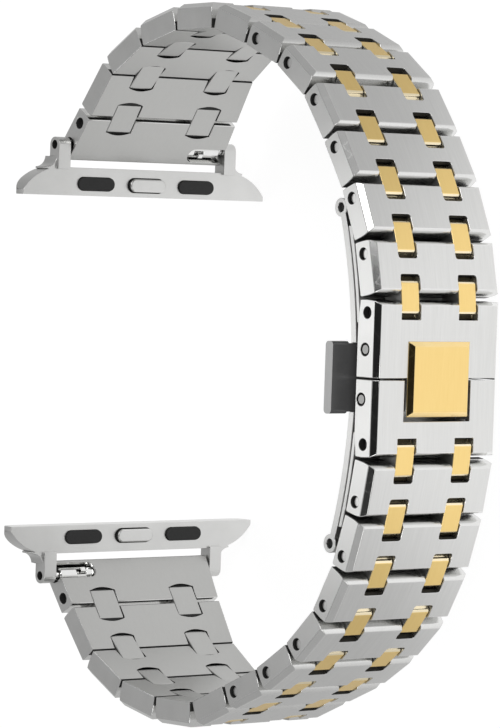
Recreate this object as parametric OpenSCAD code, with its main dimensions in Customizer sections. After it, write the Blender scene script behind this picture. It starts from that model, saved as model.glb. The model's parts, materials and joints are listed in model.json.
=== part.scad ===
// Two-tone metal watch bracelet: linked halves, a double folding clasp
// and a slide-in adapter with a quick-release bar at each free end.
// The hinge axes run along Z, the clasp faces +X and the wrist fills the loop.

/* [Links] */
// Distance between the two pins of one link
link_pitch = 2.75; // [2.7:0.05:2.9]
// Length of a link's body along the chain
link_len = 5.24; // [5:0.02:5.26]
// Depth of a link's inner face below its pins
link_inner = 1.05; // [1.02:0.01:1.15]
// Height of a link's outer face above its pins
link_outer = 1.55; // [1.5:0.05:1.8]
// Width of the links beside the clasp
link_w = 15.6; // [15.2:0.1:16.4]
// Width of the end link beside the watch
end_link_w = 19.4; // [18.4:0.1:19.4]
// Number of links over which a half narrows
taper_links = 5; // [3:1:8]
// Bevel along the sides of links and covers
side_bevel = 0.5; // [0.3:0.05:0.55]
// Length of the slope at each end of a link's outer face
end_slope = 0.33; // [0.2:0.01:0.4]
// Small bevel on a link's inner edges
inner_edge = 0.08; // [0.05:0.01:0.15]

/* [Connectors] */
// Distance between the two pins of one connector
connector_pitch = 2.85; // [2.8:0.05:3]
// Width of a connector beside the clasp
connector_w = 2.2; // [1.8:0.1:2.4]
// Width of a connector beside the end link
end_connector_w = 3.1; // [2.6:0.1:3.2]
// Distance between the middles of a pair beside the clasp
pair_w = 7.2; // [6.8:0.1:7.8]
// Distance between the middles of a pair beside the end link
end_pair_w = 10.6; // [10:0.1:11]
// Height of a connector's outer face above its pins
connector_outer = 1.45; // [1.35:0.05:1.5]
// Radius of a connector's round ends
tongue_r = 1; // [0.9:0.02:1]
// Gap between a connector and the sides and pocket of its slot
slot_gap = 0.08; // [0.06:0.01:0.1]
// Distance from a pin to the closed end of its slot
slot_len = 0.6; // [0.5:0.02:0.66]

/* [Pins] */
// Diameter of the link pins
pin_d = 1.1; // [0.9:0.05:1.2]
// Radial clearance where a piece turns on a pin
run_gap = 0.05; // [0.04:0.01:0.06]
// Radial gap where a pin is fixed in its hole
fix_gap = 0.02; // [0.01:0.01:0.03]
// Depth of the open hole in front of a link pin
hole_depth = 0.7; // [0.5:0.1:1.5]
// Wall left in front of a hidden pin end
pin_cap = 0.6; // [0.4:0.1:1.2]

/* [Clasp] */
// Distance from the middle of the clasp to a cover's link pin
cover_pin_y = 6.25; // [6.1:0.05:6.8]
// Gap between the two covers
split_gap = 0.2; // [0.1:0.05:0.3]
// Depth of a cover's inner face below its pin
cover_inner = 1.3; // [1.25:0.01:1.32]
// Thickness of a cover's outer wall
cover_wall = 0.65; // [0.5:0.05:0.8]
// Thickness of a cover's side walls
cheek = 1.2; // [0.9:0.1:1.3]
// Distance from the middle of the clasp to the upper cover's rivets
rivet_y = 2.75; // [2.6:0.05:2.85]
// Distance from the middle of the clasp to the lower cover's rivets
lower_rivet_y = 2; // [1.9:0.05:2.2]
// Depth of the upper rivets below the link pins
rivet_depth = 0.15; // [0.1:0.01:0.2]
// Depth of the lower rivets below the link pins
lower_rivet_depth = 0.5; // [0.4:0.01:0.5]
// Diameter of the rivets
rivet_d = 1.2; // [1:0.05:1.2]
// Inner radius of the curved base plate
base_r = 51.9; // [49:0.1:60]
// Thickness of the base plate
base_t = 0.75; // [0.65:0.05:0.75]
// Thickness of the folding arms
arm_t = 0.45; // [0.35:0.05:0.45]
// Width of the base plate and the arms
base_w = 14.8; // [14.2:0.1:15.2]
// Distance from the middle of the clasp to the arm hinges
hinge_y = 16.1; // [16.1:0.1:16.4]
// Radius of the hinge knuckles
knuckle_r = 0.9; // [0.85:0.05:0.9]
// Diameter of the hinge pins
hinge_pin_d = 0.9; // [0.7:0.05:0.9]
// Width of the middle knuckle of each arm hinge
knuckle_w = 9.6; // [8:0.2:10.4]

/* [Gold plate] */
// Width of the square plate across the clasp
plate_w = 7.7; // [7:0.1:7.8]
// Height of the square plate along the chain
plate_h = 7.2; // [6.8:0.1:7.4]
// Height of the plate above the covers
plate_rise = 0.5; // [0.4:0.05:0.7]
// Bevel round the plate's face
plate_bevel = 0.45; // [0.2:0.05:0.5]
// Gap between the plate and the notch in the lower cover
notch_gap = 0.3; // [0.2:0.05:0.45]

/* [Push buttons] */
// Distance from the middle to a push button's face
button_reach = 10.3; // [9.9:0.1:11]
// Height of a push button's head along the chain
head_h = 6.9; // [6.6:0.1:7.2]
// Thickness of a push button's head
head_t = 1.1; // [0.9:0.05:1.3]
// Radius of the head's corners
head_round = 0.4; // [0.2:0.05:0.44]
// Height of the plate behind the head
button_h = 6.5; // [5.6:0.1:6.6]
// Thickness of the plate behind the head
button_t = 0.58; // [0.5:0.02:0.6]
// Travel of a push button
button_travel = 0.8; // [0.4:0.1:0.8]

/* [Adapters] */
// Length of an adapter's rail
rail_len = 31.3; // [30.5:0.1:32]
// Height of the rail
rail_h = 2.9; // [2.6:0.1:3.1]
// Thickness of the rail
rail_t = 2.1; // [2:0.1:2.4]
// Distance from the spring bar to the rail's face, forwards
rail_front = 0.5; // [0.3:0.05:0.6]
// Distance from the spring bar to the rail's near edge
rail_drop = 2.3; // [2.2:0.05:2.6]
// Gap between the end link and each ear
ear_play = 0.3; // [0.3:0.05:0.5]
// Thickness of an ear
ear_t = 1.55; // [1.3:0.05:1.8]
// Radius of an ear's round end
ear_r = 0.8; // [0.75:0.05:0.9]
// Length of the pads and the lock button
pill_len = 4.55; // [4:0.05:5.2]
// Height of the pads and the lock button
pill_h = 1.35; // [1.1:0.05:1.5]
// Distance between the middles of neighbouring pills
pill_step = 6.5; // [6:0.1:7]
// Height of a rubber pad above the rail's face
pad_rise = 0.25; // [0.1:0.05:0.4]
// Height of the lock button above the rail's face
lock_rise = 0.45; // [0.2:0.05:0.5]
// Thickness of the lock button
lock_t = 1.35; // [1.2:0.05:1.4]
// Travel of the lock button
lock_travel = 0.4; // [0.2:0.05:0.4]

/* [Spring bars] */
// Diameter of the spring bar's tube
bar_d = 1.5; // [1.3:0.05:1.5]
// Diameter of the spring bar's tips
tip_d = 0.8; // [0.7:0.05:0.9]
// Reach of the tips into the ears
tip_reach = 0.8; // [0.7:0.05:1.1]
// Width of the lever's notch at the end link's side
lever_slot_w = 4.6; // [4:0.1:5]
// Opening of the notch along the chain
notch_open = 1.7; // [1.5:0.1:1.8]

/* [Hidden] */
$fn = 64;
// Bend of each pitch at rest, in degrees, from the clasp outwards
upper_bends = [12, 12, 9, 4, 18, 13, 5, 19, 15, 16, 22, 0];
lower_bends = [12, 7, 11, 17, 10, 9, 0, 23, 13, 17, 24, 3];
links = 12;
holed_links = 6;
reach = 10;
spare = 2;
skin = 0.2;
play = 0.1;
nose_in = 0.04;
nose_out = 0.09;
belly = 0.1;
tongue_a = 53;
tongue_top = 0.18;

shoulder = link_outer - side_bevel;
half_len = link_len / 2;
nose = half_len - link_pitch / 2;
pocket_r = tongue_r + slot_gap;
clasp_x = -link_outer - plate_rise;
split_u = cover_pin_y - split_gap / 2;
cover_w = link_w;
hollow_w = cover_w - 2 * cheek;
hollow_wall = 0.6;
hollow_u = pocket_r + hollow_wall;
roof = link_outer - cover_wall;
notch_more = 0.15;

base_x = -cover_inner - arm_t - base_t - play;
base_c = base_x - base_r;
base_outer_r = base_r + base_t;
arm_r = base_outer_r + run_gap;
arm_outer_r = arm_r + arm_t;
knuckle_in = 0.55;
knuckle_reach = 0.8;
hinge_x = base_c + sqrt(pow(base_outer_r, 2) - pow(hinge_y, 2)) - knuckle_in;
arm_end_y = hinge_y - knuckle_r - knuckle_reach;
hinge_pin_in = 0.3;
window_y = button_h / 2 + run_gap;
floor_t = 0.45;
floor_rim = 0.9;
floor_side = 0.4;
floor_y = window_y + floor_rim;
floor_w = base_w - 2 * floor_side;
button_outer = base_x + base_t - fix_gap;
guide_r = 0.2;
island_w = 2;
button_in = island_w / 2 + button_travel + play;
head_in = base_w / 2 + button_travel + play;
catch_z = hollow_w / 2 - 1.9;
catch_w = 0.7;
catch_len = 1.1;
catch_depth = 0.7;
catch_gap = 0.08;
hook_w = 1;
hook_h = 2.8;
hook_top = 0.2;
stem_w = 0.75;
stem_h = 1.8;
rail_z = hollow_w / 2 - 0.6;
rail_w = 1;
eye_t = 0.3;
neck_w = 0.6;
rivet_in = rail_z - rail_w / 2 - skin;
rivet_end = 0.05;
rivet_groove = 0.12;
groove_depth = 0.35;
neck_y = 4;
web_y = 5.2;

near_edge = -rail_drop;
far_edge = -rail_drop - rail_h;
pill_drop = 0.2;
pill_y = (near_edge + far_edge) / 2 - pill_drop;
flare_r = 1.2;
sweep_r = 5.6;
tip_h = 0.5;
tip_round = 1.2;
ear_gap = end_link_w + 2 * ear_play;
tube_end = ear_gap / 2 - 0.7;
tip_end = ear_gap / 2 + tip_reach;
tip_in = 4;
bore_in = 3;
lever_t = 0.5;
lever_w = 0.6;
lever_rest = 1.6;
lever_z = end_link_w / 2 - lever_slot_w + lever_rest;
pad_in = 0.35;
spring_r = 0.35;
spring_h = 0.15;
spring_z = 1.2;

// Links are counted from the clasp, so the last one is the end link
function link_name(half, k) = k == links - 1 ? str(half, "_end_link") : str(half, "_link_", two(k + 1));
function connector_name(half, k) = str(half, "_connectors_", two(k + 1));
function two(n) = n < 10 ? str("0", n) : str(n);
function bends(half) = half == "upper" ? upper_bends : lower_bends;
function turned(a, d) = [cos(a), sin(a)] * d;

// 0 beside the clasp and 1 at the end link, along the narrowing links
function spread(k) = max(0, 1 - (links - 1 - k) / taper_links);
function width_at(k) = link_w + (end_link_w - link_w) * spread(k);
function taper_at(k) =
    spread(k) > 0 ? atan((end_link_w - link_w) / (2 * taper_links * (link_pitch + connector_pitch))) : 0;
function connector_w_at(k) = connector_w + (end_connector_w - connector_w) * spread(k - 0.5);
function pair_at(k) = (pair_w + (end_pair_w - pair_w) * spread(k - 0.5)) / 2;

// One step along a half: the pin it starts from, the link's angle, the next bend
function step(half, state) = let (
    b = bends(half)[state[2]],
    middle = state[1] + b / 2,
    pin = state[0] - turned(middle, connector_pitch)
) [pin - turned(state[1] + b, link_pitch), state[1] + b, state[2] + 1];
function states(half) =
    [for (s = [[clasp_x, cover_pin_y], -90, 0]; s[2] < links; s = step(half, s)) s];
// Place of link k, and of the connectors on its clasp side: x, y and angle
function link_place(half, k) = let (s = step(half, states(half)[k]))
    concat(s[0] + turned(s[1], link_pitch / 2), s[1]);
function connector_place(half, k) = let (
    s = states(half)[k],
    a = s[1] + bends(half)[k] / 2
) concat(s[0] - turned(a, connector_pitch / 2), a);
function bar_place(half) = step(half, states(half)[links - 1])[0];
// Place of a cover's rivets on the upper side: height below the pins, distance from the middle
function rivet_place(half) = half == "upper" ? [-rivet_depth, rivet_y] : [-lower_rivet_depth, lower_rivet_y];

module on_half(half) {
    mirror([0, half == "upper" ? 0 : 1, 0]) children();
}

module at_place(half, p) {
    on_half(half) translate([p[0], p[1], 0]) rotate([0, 0, p[2]]) children();
}

module both_sides() {
    children();
    mirror([0, 0, 1]) children();
}

module slab(w) {
    linear_extrude(w, center = true) children();
}

// Bar along Z from z0 to z1
module rod(r, z0, z1) {
    translate([0, 0, z0]) cylinder(r = r, h = z1 - z0);
}

// End of a link's side outline: distance beyond its pin, height
function end_outline() = [
    [nose - nose_in - inner_edge, -link_inner],
    [nose - nose_in, -link_inner + inner_edge],
    [nose, -belly],
    [nose - nose_out, shoulder],
    [nose - nose_out - end_slope, link_outer]
];

module link_outline() {
    ends = [for (p = end_outline()) p + [link_pitch / 2, 0]];
    back = [for (i = [len(ends) - 1 : -1 : 0]) [-ends[i][0], ends[i][1]]];
    polygon(concat(ends, back));
}

// Everything outside the bevelled sides of a piece as wide as w
module side_trim(w, taper = 0) {
    both_sides() translate([0, 0, w / 2]) rotate([0, taper, 0]) translate([-reach, 0, 0])
        rotate([90, 0, 90]) linear_extrude(2 * reach)
            polygon([[-reach, 0], [shoulder, 0], [link_outer, -side_bevel], [reach, -side_bevel],
                [reach, reach], [-reach, reach]]);
}

// Two slots for a connector pair, about a pin at the origin, open towards +X
module slots(k) {
    both_sides() translate([0, 0, pair_at(k)]) slab(connector_w_at(k) + 2 * slot_gap) {
        circle(pocket_r);
        translate([-slot_len, sqrt(pow(pocket_r, 2) - pow(slot_len, 2))]) square(reach);
        translate([0, -reach]) square(2 * reach);
    }
}

// Hole for a fixed pin, with an open mouth on the +Z side where the photograph shows one
module pin_hole(w, open) {
    rod(pin_d / 2 + fix_gap, -w / 2 + pin_cap, w / 2 + (open ? reach : -pin_cap));
}

module link_pin(w, open) {
    rod(pin_d / 2, -w / 2 + pin_cap + fix_gap, w / 2 - (open ? hole_depth : pin_cap + fix_gap));
}

module link(half, k) {
    w = width_at(k);
    far_open = k < holed_links;
    at_place(half, link_place(half, k)) {
        color("silver") difference() {
            slab(w + spare) link_outline();
            side_trim(w, taper_at(k));
            translate([link_pitch / 2, 0, 0]) slots(k);
            mirror([1, 0, 0]) translate([link_pitch / 2, 0, 0]) slots(k + 1);
            translate([link_pitch / 2, 0, 0]) pin_hole(w, false);
            translate([-link_pitch / 2, 0, 0]) pin_hole(w, far_open);
        }
        color("gray") translate([link_pitch / 2, 0, 0]) link_pin(w, false);
        color("gray") translate([-link_pitch / 2, 0, 0]) link_pin(w, far_open);
    }
}

module end_link(half) {
    k = links - 1;
    lever_side = half == "upper" ? 0 : 1;
    at_place(half, link_place(half, k)) {
        color("silver") difference() {
            slab(end_link_w + spare) link_outline();
            side_trim(end_link_w, taper_at(k));
            translate([link_pitch / 2, 0, 0]) slots(k);
            translate([link_pitch / 2, 0, 0]) pin_hole(end_link_w, true);
            translate([-link_pitch / 2, 0, 0]) rod(bar_d / 2 + run_gap, -reach, reach);
            mirror([0, 0, 1 - lever_side]) translate([-link_pitch / 2, 0, 0]) lever_notch();
        }
        color("gray") translate([link_pitch / 2, 0, 0]) link_pin(end_link_w, true);
        translate([-link_pitch / 2, 0, 0]) mirror([0, 0, 1 - lever_side]) spring_bar();
    }
}

// Notch for the lever, open towards the inner side and the end link's side, with a round end
module lever_notch() {
    start = end_link_w / 2 - lever_slot_w;
    rotate([90, 0, 0]) linear_extrude(reach) {
        translate([-notch_open / 2, start + notch_open / 2]) square([notch_open, reach]);
        translate([0, start + notch_open / 2]) circle(notch_open / 2);
    }
}

// Slit for the lever's travel in the spring bar's tube
module lever_slit() {
    t = lever_t + 2 * slot_gap;
    translate([-t / 2, -reach, lever_z - lever_w]) cube([t, reach, 2 * lever_w]);
}

// Tube with a sliding tip at each end, one of them carrying the release lever
module spring_bar() {
    lever_end = -link_inner - play;
    color("gray") difference() {
        rod(bar_d / 2, -tube_end, tube_end);
        both_sides() rod(tip_d / 2 + play, bore_in, reach);
        lever_slit();
    }
    color("dimgray") rod(tip_d / 2, -tip_end, -tip_in);
    color("dimgray") rod(tip_d / 2, tip_in, tip_end);
    color("dimgray") translate([-lever_t / 2, lever_end, lever_z - lever_w / 2])
        cube([lever_t, -lever_end - tip_d / 2, lever_w]);
}

// Side outline of a connector between its round ends
module connector_outline(p) {
    top = turned(tongue_a, tongue_r);
    polygon([[-p, -tongue_r], [p, -tongue_r], top + [p, 0], [p + tongue_top, connector_outer],
        [-p - tongue_top, connector_outer], [-p - top[0], top[1]]]);
}

module connectors(half, k) {
    p = connector_pitch / 2;
    at_place(half, connector_place(half, k)) color("goldenrod") both_sides()
        translate([0, 0, pair_at(k)]) slab(connector_w_at(k)) difference() {
            union() {
                connector_outline(p);
                translate([p, 0]) circle(tongue_r);
                translate([-p, 0]) circle(tongue_r);
            }
            translate([p, 0]) circle(pin_d / 2 + run_gap);
            translate([-p, 0]) circle(pin_d / 2 + run_gap);
        }
}

// A cover lies on its link pin, with X towards the middle of the clasp
module at_cover(half) {
    at_place(half, [clasp_x, cover_pin_y, -90]) children();
}

module cover_outline() {
    ends = [for (p = end_outline()) [-p[0], p[1]]];
    polygon(concat([[split_u, link_outer], [split_u, -cover_inner], [pocket_r, -cover_inner]], ends));
}

module cover(half) {
    rivet = [cover_pin_y - rivet_place(half)[1], rivet_place(half)[0], 0];
    at_cover(half) {
        color("silver") difference() {
            union() {
                difference() {
                    slab(cover_w + spare) cover_outline();
                    side_trim(cover_w);
                    translate([hollow_u, -reach, -hollow_w / 2]) cube([reach, reach + roof, hollow_w]);
                }
                both_sides() translate([split_u - catch_len, -catch_depth, catch_z])
                    cube([catch_len, catch_depth + roof + skin, catch_w]);
            }
            mirror([1, 0, 0]) slots(0);
            pin_hole(cover_w, true);
            translate(rivet) rod(rivet_d / 2 + fix_gap, -reach, reach);
            if (half == "lower") notch();
        }
        color("gray") link_pin(cover_w, true);
        color("gray") both_sides() translate(rivet) {
            rod(rivet_d / 2, rivet_in, cover_w / 2 - groove_depth);
            rod(rivet_d / 2 - rivet_groove, rivet_in, cover_w / 2 - rivet_end);
        }
    }
}

// Opening in the lower cover that takes the overhanging half of the gold plate
module notch() {
    depth = plate_h / 2 + notch_gap + notch_more;
    width = plate_w + 2 * notch_gap;
    translate([cover_pin_y - depth, roof - skin, -width / 2]) cube([reach, reach, width]);
}

module gold_plate() {
    tongue_w = plate_w - 2 * plate_bevel;
    translate([clasp_x, 0, 0]) color("gold") {
        intersection() {
            rotate([0, 0, 90]) slab(plate_w) bevelled(plate_h);
            rotate([90, 0, 0]) slab(plate_h) rotate(90) bevelled(plate_w);
        }
        translate([roof + play, -plate_h / 2 + plate_bevel, -tongue_w / 2])
            cube([link_outer - roof, plate_h / 2 - plate_bevel - split_gap / 2 - run_gap, tongue_w]);
    }
}

// Outline of a plate that stands on the covers, its face bevelled; width along X
module bevelled(w) {
    top = link_outer + plate_rise;
    polygon([[-w / 2, -link_outer], [w / 2, -link_outer], [w / 2, -top + plate_bevel],
        [w / 2 - plate_bevel, -top], [plate_bevel - w / 2, -top], [-w / 2, -top + plate_bevel]]);
}

// Slice of the curved plate between two radii and two heights
module curved(r0, r1, y0, y1) {
    intersection() {
        translate([base_c, 0]) difference() {
            circle(r1, $fn = 256);
            circle(r0, $fn = 256);
        }
        translate([-reach, y0]) square([2 * reach, y1 - y0]);
    }
}

module clasp_base() {
    knuckle_side = base_w / 2 - knuckle_w / 2 - run_gap;
    translate([clasp_x, 0, 0]) {
        color("silver") difference() {
            union() {
                slab(base_w) curved(base_r, base_outer_r, -hinge_y, hinge_y);
                translate([base_x - floor_t + play, -floor_y, -floor_w / 2])
                    cube([floor_t, 2 * floor_y, floor_w]);
                for (h = ["upper", "lower"]) on_half(h) both_sides()
                    translate([hinge_x, hinge_y, knuckle_w / 2 + run_gap])
                        cylinder(r = knuckle_r, h = knuckle_side);
            }
            for (h = ["upper", "lower"]) on_half(h) translate([hinge_x, hinge_y, 0]) {
                rod(knuckle_r + play, -knuckle_w / 2 - run_gap, knuckle_w / 2 + run_gap);
                rod(hinge_pin_d / 2 + fix_gap, -reach, reach);
            }
            both_sides() translate([base_x + play, -window_y, island_w / 2])
                cube([reach, 2 * window_y, reach]);
            translate([button_outer - button_t / 2, 0, 0]) rod(guide_r + 2 * fix_gap, -reach, reach);
        }
        color("gray") for (h = ["upper", "lower"]) on_half(h) translate([hinge_x, hinge_y, 0])
            rod(hinge_pin_d / 2, -base_w / 2 + hinge_pin_in, base_w / 2 - hinge_pin_in);
        color("gray") translate([button_outer - button_t / 2, 0, 0])
            rod(guide_r, -island_w / 2, island_w / 2);
    }
}

// Folding arm: a curved web between its hinge and two rails that hold the cover's rivet
module arm(half) {
    pivot = rivet_place(half);
    on_half(half) translate([clasp_x, 0, 0]) color("silver") difference() {
        union() {
            slab(base_w - 2 * play) curved(arm_r, arm_outer_r, web_y, arm_end_y);
            slab(knuckle_w) curved(arm_r, arm_outer_r, arm_end_y - skin, hinge_y);
            translate([hinge_x, hinge_y, 0]) cylinder(r = knuckle_r, h = knuckle_w, center = true);
            both_sides() translate([0, 0, rail_z]) slab(rail_w) {
                curved(arm_r, arm_outer_r, neck_y - play, web_y + skin);
                translate(pivot) circle(rivet_d / 2 + eye_t);
                neck(pivot, [base_c + arm_r + arm_t / 3, neck_y]);
            }
        }
        translate(pivot) rod(rivet_d / 2 + run_gap, -reach, reach);
        translate([hinge_x, hinge_y, 0]) rod(hinge_pin_d / 2 + run_gap, -reach, reach);
    }
}

// Flat bar between two points
module neck(from, to) {
    d = to - from;
    translate(from) rotate(atan2(d[1], d[0])) translate([0, -neck_w / 2]) square([norm(d), neck_w]);
}

// Rectangle about the origin with round corners
module rounded(w, h, r) {
    square([w - 2 * r, h], center = true);
    square([w, h - 2 * r], center = true);
    for (x = [-1, 1], y = [-1, 1]) translate([x * (w / 2 - r), y * (h / 2 - r)]) circle(r);
}

// Push button: a head beside the covers, its plate sliding in the base, and a catch behind
module push_button(side) {
    inside = button_outer - button_t;
    hook = catch_z - catch_gap - hook_w;
    translate([clasp_x, 0, 0]) mirror([0, 0, side > 0 ? 0 : 1]) color("dimgray") {
        translate([button_outer - head_t / 2, 0, head_in])
            linear_extrude(button_reach - head_in) rounded(head_t, head_h, head_round);
        translate([inside, -button_h / 2, button_in]) cube([button_t, button_h, head_in + skin - button_in]);
        translate([inside + play, -stem_h / 2, hook]) cube([roof - 0.5 - inside, stem_h, stem_w]);
        translate([-hook_top, -hook_h / 2, hook]) cube([roof - hook_top, hook_h, hook_w]);
    }
}

// An adapter hangs from its spring bar, with its face towards +X
module at_adapter(half) {
    p = bar_place(half);
    on_half(half) translate([p[0], p[1], 0]) children();
}

// Round-ended block along Z on the rail's face, from x0 to x1
module pill(len, h, x0, x1) {
    translate([x0, pill_y, 0]) rotate([0, 90, 0]) linear_extrude(x1 - x0) {
        square([len - h, h], center = true);
        translate([(len - h) / 2, 0]) circle(h / 2);
        translate([(h - len) / 2, 0]) circle(h / 2);
    }
}

// Rail outline seen from its face: a bar whose near edge sweeps down from each ear to a
// narrow tip at the far edge
module rail_outline() {
    ear = ear_gap / 2 + ear_t;
    sweep_z = rail_len / 2 - sqrt(pow(sweep_r, 2) - pow(sweep_r - rail_h + tip_h, 2));
    translate([-sweep_z, far_edge]) square([2 * sweep_z, rail_h]);
    intersection() {
        translate([-rail_len / 2, far_edge]) square([rail_len, rail_h]);
        for (s = [-1, 1]) translate([s * sweep_z, near_edge - sweep_r]) circle(sweep_r);
    }
    difference() {
        for (s = [-1, 1]) translate([s * (ear + flare_r / 2) - flare_r / 2, near_edge - skin])
            square([flare_r, flare_r + skin - play]);
        for (s = [-1, 1]) translate([s * (ear + flare_r), near_edge + flare_r]) circle(flare_r);
    }
}

// Rail outline seen along its height: flat, with round corners behind the tips
module rail_plan() {
    translate([-rail_len / 2, tip_round]) square([rail_len, rail_t - tip_round]);
    translate([tip_round - rail_len / 2, 0]) square([rail_len - 2 * tip_round, rail_t]);
    for (s = [-1, 1]) translate([s * (rail_len / 2 - tip_round), tip_round]) circle(tip_round);
}

module adapter(half) {
    back = rail_front - rail_t;
    lock_back = rail_front + lock_rise - lock_t;
    spring_back = lock_back - lock_travel - skin;
    at_adapter(half) {
        color("lightgray") difference() {
            union() {
                translate([back, 0, 0]) intersection() {
                    rotate([0, 90, 0]) linear_extrude(rail_t) rail_outline();
                    rotate([-90, -90, 0]) slab(2 * reach) rail_plan();
                }
                both_sides() translate([0, 0, ear_gap / 2]) linear_extrude(ear_t) {
                    circle(ear_r);
                    translate([-ear_r, near_edge - skin]) square([2 * ear_r, rail_drop + skin]);
                }
            }
            rod(tip_d / 2 + run_gap, -2 * reach, 2 * reach);
            both_sides() translate([0, 0, pill_step])
                pill(pill_len + 2 * fix_gap, pill_h + 2 * fix_gap, rail_front - pad_in, reach);
            pill(pill_len + 2 * slot_gap, pill_h + 2 * slot_gap, spring_back, reach);
        }
        color("dimgray") both_sides() translate([0, 0, pill_step])
            pill(pill_len, pill_h, rail_front - pad_in + fix_gap, rail_front + pad_rise);
        color("gray") for (z = [-spring_z, spring_z]) translate([spring_back + fix_gap, pill_y, z])
            rotate([0, 90, 0]) cylinder(r = spring_r, h = spring_h);
    }
}

module lock_button(half) {
    lock_face = rail_front + lock_rise;
    at_adapter(half) color("silver") pill(pill_len, pill_h, lock_face - lock_t, lock_face);
}

for (h = ["upper", "lower"], k = [0 : links - 2])
    link(h, k);
end_link("upper");  // upper_end_link
end_link("lower");  // lower_end_link
for (h = ["upper", "lower"], k = [0 : links - 1])
    connectors(h, k);
clasp_base();
arm("upper");  // upper_arm
arm("lower");  // lower_arm
cover("upper");  // upper_cover
cover("lower");  // lower_cover
gold_plate();
push_button(1);  // left_push_button
push_button(-1);  // right_push_button
adapter("upper");  // upper_adapter
adapter("lower");  // lower_adapter
lock_button("upper");  // upper_lock_button
lock_button("lower");  // lower_lock_button
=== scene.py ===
# Two-tone link bracelet with a double folding clasp and a slide-in adapter at each end
import bpy
import bmesh
import json
import math
from mathutils import Matrix, Vector


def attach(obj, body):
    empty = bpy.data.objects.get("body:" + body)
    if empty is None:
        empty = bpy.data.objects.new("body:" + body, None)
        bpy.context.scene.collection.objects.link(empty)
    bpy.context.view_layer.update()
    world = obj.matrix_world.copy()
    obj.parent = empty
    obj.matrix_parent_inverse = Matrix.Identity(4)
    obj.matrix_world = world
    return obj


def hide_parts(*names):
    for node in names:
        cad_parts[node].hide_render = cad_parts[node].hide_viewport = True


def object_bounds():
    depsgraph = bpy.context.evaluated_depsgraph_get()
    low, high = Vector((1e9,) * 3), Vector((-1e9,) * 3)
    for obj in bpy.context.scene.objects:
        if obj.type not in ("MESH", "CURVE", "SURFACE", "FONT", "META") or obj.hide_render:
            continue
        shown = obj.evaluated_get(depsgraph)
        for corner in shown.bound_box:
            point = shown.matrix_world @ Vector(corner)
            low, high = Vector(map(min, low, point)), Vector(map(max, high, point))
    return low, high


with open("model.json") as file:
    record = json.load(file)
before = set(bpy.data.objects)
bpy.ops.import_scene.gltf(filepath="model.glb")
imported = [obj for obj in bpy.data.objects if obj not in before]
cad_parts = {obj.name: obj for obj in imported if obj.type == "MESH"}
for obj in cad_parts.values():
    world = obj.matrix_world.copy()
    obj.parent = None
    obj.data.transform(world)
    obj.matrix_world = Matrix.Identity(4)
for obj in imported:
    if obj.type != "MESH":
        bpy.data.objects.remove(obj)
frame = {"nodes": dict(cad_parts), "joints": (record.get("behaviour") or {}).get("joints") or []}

boxAtLoad = [list(corner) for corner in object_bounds()]
mm = 0.001
reliefDepth, mirrorDepth = 0.00002, 0.00001  # metres of height in the bumps of matt and mirror finishes
joints = {joint["name"]: joint for joint in frame["joints"]}
easedAngle, sharpAngle = 32, 40  # degrees: edges over the first are eased, those over the second stay sharp
flatFace = 0.985  # a face looks along an axis when its normal's share there is above this


# Small helpers for node trees and meshes

def wire(tree, kind, feeds=None, **settings):
    node = tree.nodes.new(kind)
    for name, value in settings.items():
        setattr(node, name, value)
    for name, value in (feeds or {}).items():
        if isinstance(value, bpy.types.NodeSocket):
            tree.links.new(value, node.inputs[name])
        else:
            node.inputs[name].default_value = value
    return node


def sum2(tree, a, b, operation="ADD"):
    return wire(tree, "ShaderNodeMath", {0: a, 1: b}, operation=operation).outputs[0]


def newTree(name, kind, ins, outs):
    tree = bpy.data.node_groups.new(name, kind)
    for label, socket, value in ins:
        made = tree.interface.new_socket(label, in_out="INPUT", socket_type=socket)
        if value is not None:
            made.default_value = value
    for label, socket in outs:
        tree.interface.new_socket(label, in_out="OUTPUT", socket_type=socket)
    return tree, tree.nodes.new("NodeGroupInput"), tree.nodes.new("NodeGroupOutput")


def setInputs(modifier, values):
    ids = {item.name: item.identifier for item in modifier.node_group.interface.items_tree
           if item.item_type == "SOCKET" and item.in_out == "INPUT"}
    for name, value in values.items():
        modifier[ids[name]] = value


def newObject(name, mesh):
    thing = bpy.data.objects.new(name, mesh)
    bpy.context.scene.collection.objects.link(thing)
    return thing


def bake(thing, place=None):
    # the evaluated result becomes the object's own plain mesh, set in its place in metres
    graph = bpy.context.evaluated_depsgraph_get()
    mesh = bpy.data.meshes.new_from_object(thing.evaluated_get(graph), depsgraph=graph)
    if place is not None:
        mesh.transform(place)
    name = thing.name
    bpy.data.objects.remove(thing)
    mesh.name = name
    return newObject(name, mesh)


def softenEdges(thing, width, segments=2, clamp=False):
    bevel = thing.modifiers.new("edges", "BEVEL")
    bevel.width = width
    bevel.segments = segments
    bevel.limit_method = "ANGLE"
    bevel.angle_limit = math.radians(easedAngle)
    bevel.use_clamp_overlap = clamp
    bevel.miter_outer = "MITER_ARC"


def weighNormals(thing):
    weigh = thing.modifiers.new("normals", "WEIGHTED_NORMAL")
    weigh.keep_sharp = True
    weigh.weight = 60


def shadeSmooth(mesh):
    mesh.polygons.foreach_set("use_smooth", [True] * len(mesh.polygons))
    mesh.set_sharp_from_angle(angle=math.radians(sharpAngle))


# Camera at the photographed angle

photoCamera = {
    "target": (-29.49, -0.085, 0.0),  # mm, in the middle of the loop
    "distance": 404.56,
    "around": 38.352,  # degrees from +X towards +Z
    "raised": 2.392,
    "rolled": 1.916,
    "lens": 197.8,
}


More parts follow.
